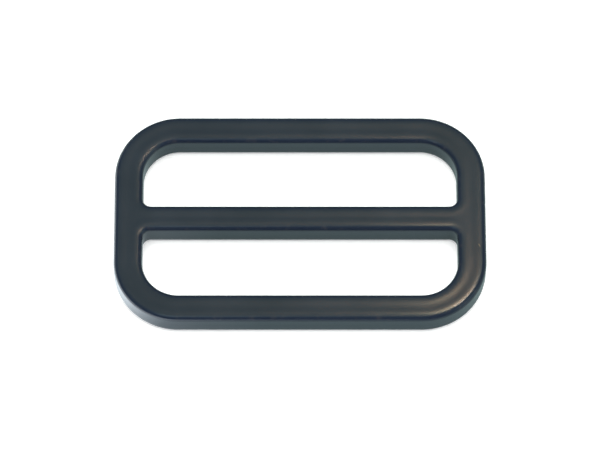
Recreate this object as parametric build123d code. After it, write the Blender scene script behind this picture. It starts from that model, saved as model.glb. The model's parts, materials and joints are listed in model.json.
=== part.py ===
from build123d import *
import os

# A flat slider for 38 mm webbing: a rounded rectangular frame with one bar across its middle.
# Millimetres. X runs along the bar, Y is the way the webbing runs, and Z points up out of the face.
# The origin is the middle of the underside.

# Driving dimensions
slot_length = 38.5  # 38 mm webbing with a little room at its edges
slot_width = 8.6  # between the bar and a long rail
thickness = 3.6
rail_width = 3.45  # the same all the way round the frame, corners included
bar_width = 3.3
outer_corner_radius = 7.95
root_radius = 1.0  # where the bar grows out of an end rail
edge_rounding = 0.65  # along every edge of both faces

# Sizes that follow from them
frame_length = slot_length + 2 * rail_width
frame_width = bar_width + 2 * (slot_width + rail_width)
slot_corner_radius = outer_corner_radius - rail_width
bar_length = slot_length - 2 * root_radius  # the straight stretch between the two roots
slot_centre = (bar_width + slot_width) / 2


def slot_outline(side):
    """One webbing slot, at side +1 or -1 of the bar: large corners by the long rail, small ones by the bar."""
    opening = Rectangle(slot_length, slot_width)
    rail_corners = opening.vertices().filter_by(lambda corner: corner.Y * side > 0)
    opening = fillet(rail_corners, slot_corner_radius)
    roots = opening.vertices().group_by(Axis.Y)[0 if side > 0 else -1]
    opening = fillet(roots, root_radius)
    return Pos(0, side * slot_centre) * opening


def slider_blank():
    """The frame and the bar together, with the rounding carried round every edge of both faces."""
    outline = RectangleRounded(frame_length, frame_width, outer_corner_radius)
    for side in (1, -1):
        outline -= slot_outline(side)
    blank = extrude(outline, thickness)
    face_edges = blank.edges().group_by(Axis.Z)[0] + blank.edges().group_by(Axis.Z)[-1]
    return fillet(face_edges, edge_rounding)


def bar_stretch():
    """A block that takes in the straight stretch of the bar and nothing of the frame."""
    return Pos(0, 0, thickness / 2) * Box(bar_length, bar_width + slot_width, 2 * thickness)


os.makedirs("parts", exist_ok=True)
blank = slider_blank()
export_step(blank - bar_stretch(), "parts/outer_frame.step")
export_step(blank & bar_stretch(), "parts/centre_bar.step")
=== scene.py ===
import json
import math

import bmesh
import bpy
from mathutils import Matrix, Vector, geometry


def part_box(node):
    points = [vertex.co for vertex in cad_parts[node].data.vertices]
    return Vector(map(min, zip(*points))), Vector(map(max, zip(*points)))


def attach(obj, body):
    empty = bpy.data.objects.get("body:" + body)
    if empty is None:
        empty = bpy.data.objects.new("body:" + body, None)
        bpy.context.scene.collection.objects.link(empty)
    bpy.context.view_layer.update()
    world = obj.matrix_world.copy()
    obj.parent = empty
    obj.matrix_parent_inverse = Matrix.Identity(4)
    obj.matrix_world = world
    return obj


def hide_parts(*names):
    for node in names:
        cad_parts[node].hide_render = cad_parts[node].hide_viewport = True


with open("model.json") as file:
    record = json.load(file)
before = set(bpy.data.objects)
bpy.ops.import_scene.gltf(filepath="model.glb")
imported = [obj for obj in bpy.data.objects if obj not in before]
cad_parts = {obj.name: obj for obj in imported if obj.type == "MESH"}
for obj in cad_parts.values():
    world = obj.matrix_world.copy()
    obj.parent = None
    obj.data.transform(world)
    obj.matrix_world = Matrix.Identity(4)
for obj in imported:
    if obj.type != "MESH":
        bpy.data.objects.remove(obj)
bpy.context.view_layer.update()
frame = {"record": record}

MM = 0.001

# The slider's sizes, in metres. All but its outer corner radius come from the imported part.
frame_low, frame_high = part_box("outer_frame")
bar_low, bar_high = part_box("centre_bar")
mounts = {mount["name"]: mount for mount in frame["record"]["mounts"]}
THICKNESS = frame_high.z
SLOT_LENGTH = mounts["bar_loop"]["dims"]["length_mm"] * MM
RAIL_WIDTH = frame_high.x - SLOT_LENGTH / 2
ROOT_RADIUS = SLOT_LENGTH / 2 - bar_high.x
OUTER_RADIUS = 7.95 * MM
SLOT_RADIUS = OUTER_RADIUS - RAIL_WIDTH

# The section of a rail or the bar: a round edge up from the wall, then a soft shoulder that eases up to a
# crest, then a very shallow dish down to the middle.
EDGE_RADIUS = 0.65 * MM
EDGE_STEPS = 14
SHOULDER_TILT = math.radians(9)  # where the round edge ends and the shoulder begins
SHOULDER_START = EDGE_RADIUS * (1 - math.sin(SHOULDER_TILT))
CREST = 1.0 * MM  # from the outline
DISH_DEPTH = 0.02 * MM
DISH_MIDDLE = RAIL_WIDTH / 2  # from the outline
FACE_STEPS = 9
FACE_REACH = 0.88  # how much of the way to the middle the rings go
WALL_STEPS = 4

# The spacing of the mesh.
STRAIGHT_STEP = 0.4 * MM
ARC_STEP = math.radians(3)
FACE_SPACING = 0.4 * MM
ONE_POINT = 1e-9  # points of the face nearer each other than this count as one

# The two cuts that part the bar from the frame, which leave the rails alone.
CUT_REACH_X = 2 * MM
CUT_REACH_Y = bar_high.y * 1.5
CUT_SNAP = 1e-7  # a corner nearer the cut than this counts as on it
BAR_MARGIN = FACE_SPACING / 10  # how far past the bar's sides its faces are looked for


# ---------------------------------------------------------------- outlines

def corner_arc(centre, radius, start):
    """(point, outward direction) pairs round a quarter turn, anticlockwise from the start angle."""
    count = round(math.pi / 2 / ARC_STEP)
    pairs = []
    for i in range(count + 1):
        angle = start + math.pi / 2 * i / count
        outward = Vector((math.cos(angle), math.sin(angle)))
        pairs.append((centre + outward * radius, outward))
    return pairs


def rounded_rectangle(low, high, low_radius, high_radius):
    """(point, outward direction) pairs round a rectangle, anticlockwise, with one radius for its two lower
    corners and one for its two upper corners."""
    arcs = [
        corner_arc(Vector((low.x + low_radius, low.y + low_radius)), low_radius, math.pi),
        corner_arc(Vector((high.x - low_radius, low.y + low_radius)), low_radius, math.pi * 1.5),
        corner_arc(Vector((high.x - high_radius, high.y - high_radius)), high_radius, 0),
        corner_arc(Vector((low.x + high_radius, high.y - high_radius)), high_radius, math.pi / 2),
    ]
    pairs = []
    for arc, following in zip(arcs, arcs[1:] + arcs[:1]):
        pairs += arc
        (start, outward), (end, _) = arc[-1], following[0]
        count = round((end - start).length / STRAIGHT_STEP)
        pairs += [(start.lerp(end, i / count), outward) for i in range(1, count)]
    return pairs


def slider_outlines():
    """The outer outline and the two slots, each with the side of it that the metal lies on: -1 for inside
    and 1 for outside."""
    outer = rounded_rectangle(frame_low.xy, frame_high.xy, OUTER_RADIUS, OUTER_RADIUS)
    slot_low = Vector((-SLOT_LENGTH / 2, bar_high.y))
    slot_high = Vector((SLOT_LENGTH / 2, frame_high.y - RAIL_WIDTH))
    back = rounded_rectangle(slot_low, slot_high, ROOT_RADIUS, SLOT_RADIUS)
    front_low = Vector((slot_low.x, -slot_high.y))
    front_high = Vector((slot_high.x, -slot_low.y))
    front = rounded_rectangle(front_low, front_high, SLOT_RADIUS, ROOT_RADIUS)
    return [(outer, -1), (back, 1), (front, 1)]


# ---------------------------------------------------------------- the section of an edge

def face_drop(inset):
    """How far the shoulder or the dish lies below the crest, at a distance in from the outline."""
    if inset < CREST:
        return math.tan(SHOULDER_TILT) * (CREST - inset) ** 2 / (CREST - SHOULDER_START) / 2
    part = min((inset - CREST) / (DISH_MIDDLE - CREST), 1)
    return DISH_DEPTH * (1 - math.cos(math.pi * part)) / 2


def face_and_edge():
    """(inset, drop, exposure) rows from near the middle of a rail's face to the top of its wall. Exposure is
    how much rubbing the place gets: none on the face and the wall, and 1 half way round the edge."""
    rows = []
    for i in range(FACE_STEPS, 0, -1):
        inset = SHOULDER_START + (DISH_MIDDLE - SHOULDER_START) * FACE_REACH * i / FACE_STEPS
        rows.append((inset, face_drop(inset), 0.0))
    lowered = face_drop(SHOULDER_START) - EDGE_RADIUS * (1 - math.cos(SHOULDER_TILT))
    for i in range(EDGE_STEPS + 1):
        tilt = SHOULDER_TILT + (math.pi / 2 - SHOULDER_TILT) * i / EDGE_STEPS
        inset, drop = EDGE_RADIUS * (1 - math.sin(tilt)), EDGE_RADIUS * (1 - math.cos(tilt))
        rows.append((inset, drop + lowered, math.sin(2 * tilt)))
    return rows


def edge_section():
    """(inset, height, exposure) rows from the top face, down the wall, to the underside."""
    top = [(inset, THICKNESS - drop, exposure) for inset, drop, exposure in face_and_edge()]
    wall_top, wall_foot = top[-1][1], THICKNESS - top[-1][1]
    wall = [(0.0, wall_top + (wall_foot - wall_top) * i / WALL_STEPS, 0.0) for i in range(1, WALL_STEPS)]
    foot = [(inset, THICKNESS - height, exposure) for inset, height, exposure in reversed(top)]
    return top + wall + foot


# ---------------------------------------------------------------- the mesh

def inside(point, ring):
    """Whether a point lies inside a closed ring of points."""
    within = False
    for a, b in zip(ring, ring[1:] + ring[:1]):
        if (a.y > point.y) != (b.y > point.y):
            if point.x < a.x + (point.y - a.y) / (b.y - a.y) * (b.x - a.x):
                within = not within
    return within


def in_metal(point, rings):
    """Whether a point lies inside the outer ring and in neither slot."""
    outer, back, front = rings
    return inside(point, outer) and not inside(point, back) and not inside(point, front)


def nearest(point, others):
    """How far a point is from the nearest of the others."""
    return min((point - other).length for other in others)


def face_points(rings):
    """Points spread in staggered rows over the middle of the face, clear of the rings round it."""
    ring_points = [point for ring in rings for point in ring]
    columns = math.floor((frame_high.x - frame_low.x) / FACE_SPACING)
    rows = math.floor((frame_high.y - frame_low.y) / FACE_SPACING)
    points = []
    for i in range(columns + 1):
        for j in range(rows + 1):
            shift = FACE_SPACING / 2 if j % 2 else 0
            point = Vector((frame_low.x + i * FACE_SPACING + shift, frame_low.y + j * FACE_SPACING))
            if in_metal(point, rings) and nearest(point, ring_points) > FACE_SPACING / 2:
                points.append(point)
    return points


def middle_of_face(rings):
    """Points and triangles that fill the face between the outer ring and the two slot rings. The points are
    the rings' own and then the new ones."""
    borders = []
    for ring in rings:
        start = len(borders)
        borders += [(start + i, start + (i + 1) % len(ring)) for i in range(len(ring))]
    points = [point for ring in rings for point in ring] + face_points(rings)
    all_triangles = 0
    result = geometry.delaunay_2d_cdt(points, borders, [], all_triangles, ONE_POINT)
    found, _, triangles, came_from, _, _ = result
    kept = []
    for triangle in triangles:
        middle = sum((found[i] for i in triangle), Vector((0, 0))) / len(triangle)
        if in_metal(middle, rings):
            kept.append([came_from[i][0] for i in triangle])
    return points, kept


def edge_rings(bm, outline, side, section):
    """Rings of corners along one outline, one for each row of the section, with the faces between them."""
    exposed = bm.verts.layers.float["exposure"]
    rings = []
    for inset, height, exposure in section:
        shifted = [point + outward * inset * side for point, outward in outline]
        ring = [bm.verts.new((point.x, point.y, height)) for point in shifted]
        for vert in ring:
            vert[exposed] = exposure
        rings.append(ring)
    for upper, lower in zip(rings, rings[1:]):
        for i in range(len(upper)):
            j = (i + 1) % len(upper)
            bm.faces.new((upper[i], upper[j], lower[j], lower[i]))
    return rings


def slider_mesh():
    """The whole slider as one closed bmesh."""
    outlines = slider_outlines()
    section = edge_section()
    bm = bmesh.new()
    bm.verts.layers.float.new("exposure")
    borders = [edge_rings(bm, outline, side, section) for outline, side in outlines]
    top = [vert for rings in borders for vert in rings[0]]
    underside = [vert for rings in borders for vert in rings[-1]]
    points, triangles = middle_of_face([[vert.co.xy for vert in rings[0]] for rings in borders])
    outline_points = [point for outline, _ in outlines for point, _ in outline]
    inner = [(point, face_drop(nearest(point, outline_points))) for point in points[len(top):]]
    top += [bm.verts.new((point.x, point.y, THICKNESS - drop)) for point, drop in inner]
    underside += [bm.verts.new((point.x, point.y, drop)) for point, drop in inner]
    for verts in (top, underside):
        for triangle in triangles:
            bm.faces.new([verts[i] for i in triangle])
    bmesh.ops.recalc_face_normals(bm, faces=bm.faces)
    return bm


def cut_at_bar_ends(bm):
    """Cuts through the mesh at both ends of the bar, and returns the bar's faces."""
    for x in (bar_low.x, bar_high.x):
        near = [face for face in bm.faces if abs(face.calc_center_median().y) < CUT_REACH_Y]
        near = [face for face in near if abs(face.calc_center_median().x - x) < CUT_REACH_X]
        corners = {vert for face in near for vert in face.verts}
        sides = {edge for face in near for edge in face.edges}
        around = near + list(corners | sides)
        bmesh.ops.bisect_plane(bm, geom=around, dist=CUT_SNAP, plane_co=(x, 0, 0), plane_no=(1, 0, 0))
    return [face for face in bm.faces if is_bar(face.calc_center_median())]


def is_bar(point):
    """Whether a point is on the bar, between its two cuts."""
    return abs(point.x) < bar_high.x and abs(point.y) < bar_high.y + BAR_MARGIN


def closed_part(bm, faces_gone, name):
    """A copy of the slider without some faces, with the cut ends filled, as an object."""
    part = bm.copy()
    part.faces.ensure_lookup_table()
    bmesh.ops.delete(part, geom=[part.faces[i] for i in faces_gone], context="FACES")
    open_edges = [edge for edge in part.edges if edge.is_boundary]
    no_limit = 0
    filled = bmesh.ops.holes_fill(part, edges=open_edges, sides=no_limit)["faces"]
    bmesh.ops.recalc_face_normals(part, faces=part.faces)
    for face in part.faces:
        face.smooth = True
    for face in filled:
        face.smooth = False
        for edge in face.edges:
            edge.smooth = False
    mesh = bpy.data.meshes.new(name)
    part.to_mesh(mesh)
    part.free()
    piece = bpy.data.objects.new(name, mesh)
    bpy.context.scene.collection.objects.link(piece)
    return piece


def slider_pieces():
    """The frame's ring and the bar, as two objects."""
    bm = slider_mesh()
    bar_faces = cut_at_bar_ends(bm)
    bm.faces.index_update()
    bar = {face.index for face in bar_faces}
    rest = set(range(len(bm.faces))) - bar
    pieces = [closed_part(bm, bar, "frame_ring"), closed_part(bm, rest, "bar")]
    bm.free()
    return pieces


# ---------------------------------------------------------------- what the materials are made with

def colour_mix(tree, factor, low, high):
    """A colour that goes from low to high with a factor. Each is three numbers or another node's output."""
    mix = tree.nodes.new("ShaderNodeMix")
    mix.data_type = "RGBA"
    tree.links.new(factor, mix.inputs["Factor"])
    for name, colour in (("A", low), ("B", high)):
        if isinstance(colour, tuple):
            mix.inputs[name].default_value = (*colour, 1)
        else:
            tree.links.new(colour, mix.inputs[name])
    return mix.outputs["Result"]


def colour_ramp(tree, factor, stops):
    """A colour that follows a factor through (position, colour) stops in rising order."""
    ramp = tree.nodes.new("ShaderNodeValToRGB")
    elements = ramp.color_ramp.elements
    half_way = 0.5
    while len(elements) < len(stops):
        elements.new(half_way)
    for element, (position, colour) in zip(elements, stops):
        element.position = position
        element.color = (*colour, 1)
    tree.links.new(factor, ramp.inputs["Fac"])
    return ramp.outputs["Color"]


def noise(tree, place, scale, detail):
    """Soft random patches, about as many to a metre as the scale says."""
    texture = tree.nodes.new("ShaderNodeTexNoise")
    texture.inputs["Scale"].default_value = scale
    texture.inputs["Detail"].default_value = detail
    tree.links.new(place, texture.inputs["Vector"])
    return texture.outputs["Fac"]


def spread(tree, value, low, high, start=0.3, end=0.7):
    """A value between start and end, carried over to low and high and held there beyond them. Most of a
    noise lies between the usual start and end."""
    ranged = tree.nodes.new("ShaderNodeMapRange")
    ranged.inputs["From Min"].default_value = start
    ranged.inputs["From Max"].default_value = end
    ranged.inputs["To Min"].default_value = low
    ranged.inputs["To Max"].default_value = high
    tree.links.new(value, ranged.inputs["Value"])
    return ranged.outputs["Result"]


def combine(tree, operation, a, b):
    """Two values put together, as by ADD, MULTIPLY or MAXIMUM."""
    node = tree.nodes.new("ShaderNodeMath")
    node.operation = operation
    tree.links.new(a, node.inputs[0])
    tree.links.new(b, node.inputs[1])
    return node.outputs["Value"]


def reach_along(tree, vector, axis):
    """How far a vector reaches along an axis."""
    along = tree.nodes.new("ShaderNodeVectorMath")
    along.operation = "DOT_PRODUCT"
    tree.links.new(vector, along.inputs[0])
    along.inputs[1].default_value = axis
    return along.outputs["Value"]


# ---------------------------------------------------------------- the black finish

COAT_DARK = (0.0090, 0.0138, 0.0250)
COAT_LIGHT = (0.0115, 0.0168, 0.0290)
COAT_WORN = (0.055, 0.045, 0.040)

# Clouds raise and lower a roughness that itself changes slowly. The two together stay within 0.27: where the
# roughness was higher, it gave light dots and patches with hard edges.
SLOW_ROUGHNESS = (0.225, 0.258)
CLOUD_ROUGHNESS = (-0.012, 0.012)

# One short rubbed mark on the right end rail, where its face meets the outer edge.
MARK_PLACE = Vector((21.85, -3.8, 3.55)) * MM
MARK_REACH = (0.10 * MM, 0.28 * MM, 1.0 * MM)  # half its width, length and height
MARK_TURN = math.radians(25)
MARK_CORE = 0.6  # how much of its reach is fully worn


def rubbed_mark(tree, place):
    """The rubbed mark: 1 in its core, and down to 0 at the end of its reach."""
    mark_space = tree.nodes.new("ShaderNodeMapping")
    mark_space.vector_type = "TEXTURE"
    mark_space.inputs["Location"].default_value = MARK_PLACE
    mark_space.inputs["Rotation"].default_value = (0, 0, MARK_TURN)
    mark_space.inputs["Scale"].default_value = MARK_REACH
    tree.links.new(place, mark_space.inputs["Vector"])
    from_mark = tree.nodes.new("ShaderNodeVectorMath")
    from_mark.operation = "LENGTH"
    tree.links.new(mark_space.outputs["Vector"], from_mark.inputs[0])
    return spread(tree, from_mark.outputs["Value"], low=1.0, high=0.0, start=MARK_CORE, end=1.0)


def black_finish():
    """A satin blue-black coating: slow changes of tint and gloss, a fine texture, specks worn at the edges
    and one rubbed mark."""
    material = bpy.data.materials.new("black_finish")
    material.use_nodes = True
    tree = material.node_tree
    shader = tree.nodes["Principled BSDF"]
    shader.inputs["IOR"].default_value = 1.5
    place = tree.nodes.new("ShaderNodeTexCoord").outputs["Object"]
    slow = noise(tree, place, scale=160, detail=2)
    clouds = noise(tree, place, scale=500, detail=1)
    patches = noise(tree, place, scale=1100, detail=4)
    fine = noise(tree, place, scale=5200, detail=2)

    exposure = tree.nodes.new("ShaderNodeAttribute")
    exposure.attribute_name = "exposure"
    specks = spread(tree, patches, low=0.0, high=0.35, start=0.55, end=0.78)
    rubbed = combine(tree, "MULTIPLY", exposure.outputs["Fac"], specks)
    worn = combine(tree, "MAXIMUM", rubbed, rubbed_mark(tree, place))
    coat = colour_mix(tree, spread(tree, slow, low=0.0, high=1.0), COAT_DARK, COAT_LIGHT)
    tree.links.new(colour_mix(tree, worn, coat, COAT_WORN), shader.inputs["Base Color"])

    slow_roughness = spread(tree, slow, *SLOW_ROUGHNESS)
    cloud_roughness = spread(tree, clouds, *CLOUD_ROUGHNESS)
    tree.links.new(combine(tree, "ADD", slow_roughness, cloud_roughness), shader.inputs["Roughness"])

    bump = tree.nodes.new("ShaderNodeBump")
    bump.inputs["Strength"].default_value = 0.2
    bump.inputs["Distance"].default_value = 0.02 * MM
    tree.links.new(fine, bump.inputs["Height"])
    tree.links.new(bump.outputs["Normal"], shader.inputs["Normal"])
    return material


# ---------------------------------------------------------------- the stage

# The floor is white to the camera. To the slider it is a cooler grey, with a glow that is strong at the near
# left and fades to a weak one under the slider. Each stop gives the glow part of the way between the edges.
FLOOR_REACH = 3.0  # from its middle to each side
FLOOR_SEEN = (0.80, 0.80, 0.80)
FLOOR_REFLECTED = (0.19, 0.25, 0.26)
GLOW_SEEN = (0.35, 0.35, 0.35)
GLOW_DIRECTION = (0.906, 0.423, 0.0)  # the way that the reflected glow fades
GLOW_EDGES = (-0.025, -0.010)  # how far along that way it begins to fade and stops
GLOW_STOPS = [
    (0.0, (2.2, 2.35, 2.5)),
    (0.12, (1.15, 1.25, 1.33)),
    (0.25, (0.62, 0.68, 0.71)),
    (0.5, (0.42, 0.49, 0.50)),
    (1.0, (0.235, 0.305, 0.29)),
]

# The sky is white to the camera. To the slider its colour depends on the angle in degrees from its centre.
SKY_SEEN = (1.05, 1.05, 1.05)
SKY_CENTRE = (0, 0.2, 1)
SKY_STOPS = [
    (8, (0.36, 0.45, 0.20)),
    (18, (0.29, 0.38, 0.16)),
    (30, (0.16, 0.23, 0.14)),
    (45, (0.07, 0.11, 0.11)),
    (68, (0.09, 0.12, 0.12)),
    (85, (0.22, 0.26, 0.27)),
]

# The sky's front is darker. The stops give how far the rest shows instead, by the angle from its centre.
FRONT_SKY = (0.02, 0.04, 0.085)
FRONT_CENTRE = (0, -1, 0.45)
FRONT_STOPS = [(42, (0.0, 0.0, 0.0)), (56, (1.0, 1.0, 1.0))]

FILL_DISTANCE = 0.8
LAMP_DISTANCE = 0.45  # of the lamps that are placed by their direction


def floor_material():
    """A matt floor: white to the camera, and a cooler grey with an uneven glow to the slider."""
    material = bpy.data.materials.new("pale_floor")
    material.use_nodes = True
    tree = material.node_tree
    shader = tree.nodes["Principled BSDF"]
    seen = tree.nodes.new("ShaderNodeLightPath").outputs["Is Camera Ray"]
    tree.links.new(colour_mix(tree, seen, FLOOR_REFLECTED, FLOOR_SEEN), shader.inputs["Base Color"])
    place = tree.nodes.new("ShaderNodeTexCoord").outputs["Object"]
    start, end = GLOW_EDGES
    faded = spread(tree, reach_along(tree, place, GLOW_DIRECTION), low=0.0, high=1.0, start=start, end=end)
    glow = colour_ramp(tree, faded, GLOW_STOPS)
    tree.links.new(colour_mix(tree, seen, glow, GLOW_SEEN), shader.inputs["Emission Color"])
    shader.inputs["Emission Strength"].default_value = 1.0
    shader.inputs["Roughness"].default_value = 0.9
    shader.inputs["Specular IOR Level"].default_value = 0.0
    return material


def pale_floor():
    """A wide flat floor at the slider's underside."""
    bm = bmesh.new()
    bmesh.ops.create_grid(bm, x_segments=1, y_segments=1, size=FLOOR_REACH)
    mesh = bpy.data.meshes.new("floor")
    bm.to_mesh(mesh)
    bm.free()
    floor = bpy.data.objects.new("floor", mesh)
    bpy.context.scene.collection.objects.link(floor)
    floor.location.z = frame_low.z
    mesh.materials.append(floor_material())


def soft_surround():
    """A dim sky, lighter overhead and towards the horizon and dark in front. The camera sees it as white."""
    world = bpy.data.worlds.new("soft_surround")
    bpy.context.scene.world = world
    world.use_nodes = True
    tree = world.node_tree
    direction = tree.nodes.new("ShaderNodeTexCoord").outputs["Generated"]

    def ramp_from(centre, stops):
        """A colour that depends on the angle between a direction and a centre."""
        cosine = reach_along(tree, direction, Vector(centre).normalized())
        by_cosine = [(math.cos(math.radians(angle)), colour) for angle, colour in reversed(stops)]
        return colour_ramp(tree, cosine, by_cosine)

    glow = ramp_from(SKY_CENTRE, SKY_STOPS)
    sky = colour_mix(tree, ramp_from(FRONT_CENTRE, FRONT_STOPS), FRONT_SKY, glow)
    seen = tree.nodes.new("ShaderNodeLightPath").outputs["Is Camera Ray"]
    tree.links.new(colour_mix(tree, seen, sky, SKY_SEEN), tree.nodes["Background"].inputs["Color"])


def area_light(name, place, size, watts, colour):
    """A rectangular light that faces the slider and that the camera doesn't see."""
    data = bpy.data.lights.new(name, "AREA")
    data.shape = "RECTANGLE"
    data.size, data.size_y = size
    data.energy = watts
    data.color = colour
    light = bpy.data.objects.new(name, data)
    bpy.context.scene.collection.objects.link(light)
    light.location = place
    light.rotation_mode = "QUATERNION"
    light.rotation_quaternion = Vector(place).to_track_quat("Z", "Y")
    light.visible_camera = False
    return light


def fill(name, place, size, watts):
    """A large white light that lights surfaces and doesn't show in reflections."""
    white = (1.0, 1.0, 1.0)
    area_light(name, place, size, watts, white).visible_glossy = False


def lamp(name, place, size, watts, colour):
    """A light that only shows in reflections."""
    area_light(name, place, size, watts, colour).visible_diffuse = False


def from_slider(direction, distance=LAMP_DISTANCE):
    """The place at a distance from the middle of the slider's top face."""
    return Vector((0, 0, THICKNESS)) + Vector(direction).normalized() * distance


def lights():
    """The two fills that light the slider, then the lamps that its reflections show."""
    fill("overhead_fill", from_slider((0, 0.1, 1), FILL_DISTANCE), size=(0.9, 0.9), watts=13.0)
    fill("front_fill", from_slider((0, -1, 0.28), FILL_DISTANCE), size=(0.6, 0.2), watts=3.2)
    lamp("warm_key", (0.055, 0.055, 0.232),
         size=(0.018, 0.018), watts=0.021, colour=(1.0, 0.40, 0.18))
    lamp("far_key", from_slider((0.257, 0.201, 0.937)),
         size=(0.026, 0.026), watts=0.17, colour=(1.0, 0.80, 0.69))
    lamp("warm_panel", from_slider((0.33, 0.25, 0.91)),
         size=(0.1, 0.1), watts=0.031, colour=(0.85, 1.0, 0.6))
    lamp("cool_window", (-0.042, -0.078, 0.170),
         size=(0.06, 0.11), watts=0.022, colour=(0.72, 1.0, 1.0))
    lamp("warm_lamp", (0.0265, 0.0037, 0.067),
         size=(0.016, 0.016), watts=0.0052, colour=(1.0, 0.92, 0.58))
    lamp("cool_side", from_slider((0.82, -0.38, 0.42)),
         size=(0.28, 0.22), watts=0.14, colour=(0.70, 1.0, 0.95))
    lamp("corner_glow", (0.0214, 0.0073, 0.0453),
         size=(0.008, 0.008), watts=0.0003, colour=(1.0, 0.5, 0.25))
    lamp("warm_side", (0.045, 0.084, 0.181),
         size=(0.08, 0.12), watts=0.006, colour=(0.95, 0.9, 0.3))


# ---------------------------------------------------------------- the camera

VIEW_ELEVATION = math.radians(65)
VIEW_DISTANCE = 0.55
VIEW_AIM = Vector((0, 0.58 * MM, 0))  # what lies in the middle of the picture
SHARE_OF_PICTURE = 0.6155  # how much of the picture's width the slider's length takes up
WIDTH_IN_VIEW = (frame_high.x - frame_low.x) / SHARE_OF_PICTURE


def photo_camera():
    """The camera, in front of the slider and above it, level from left to right."""
    data = bpy.data.cameras.new("camera")
    data.sensor_width = 36
    data.lens = data.sensor_width * VIEW_DISTANCE / WIDTH_IN_VIEW
    data.clip_start = 0.01
    data.clip_end = 20
    camera = bpy.data.objects.new("camera", data)
    bpy.context.scene.collection.objects.link(camera)
    back = Vector((0, -math.cos(VIEW_ELEVATION), math.sin(VIEW_ELEVATION)))
    camera.location = VIEW_AIM + back * VIEW_DISTANCE
    camera.rotation_mode = "QUATERNION"
    camera.rotation_quaternion = back.to_track_quat("Z", "Y")
    bpy.context.scene.camera = camera


# ---------------------------------------------------------------- the scene

bpy.context.scene.view_settings.view_transform = "Standard"
finish = black_finish()
for piece, node in zip(slider_pieces(), ("outer_frame", "centre_bar")):
    piece.data.materials.append(finish)
    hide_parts(node)
    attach(piece, "root")
pale_floor()
soft_surround()
lights()
photo_camera()
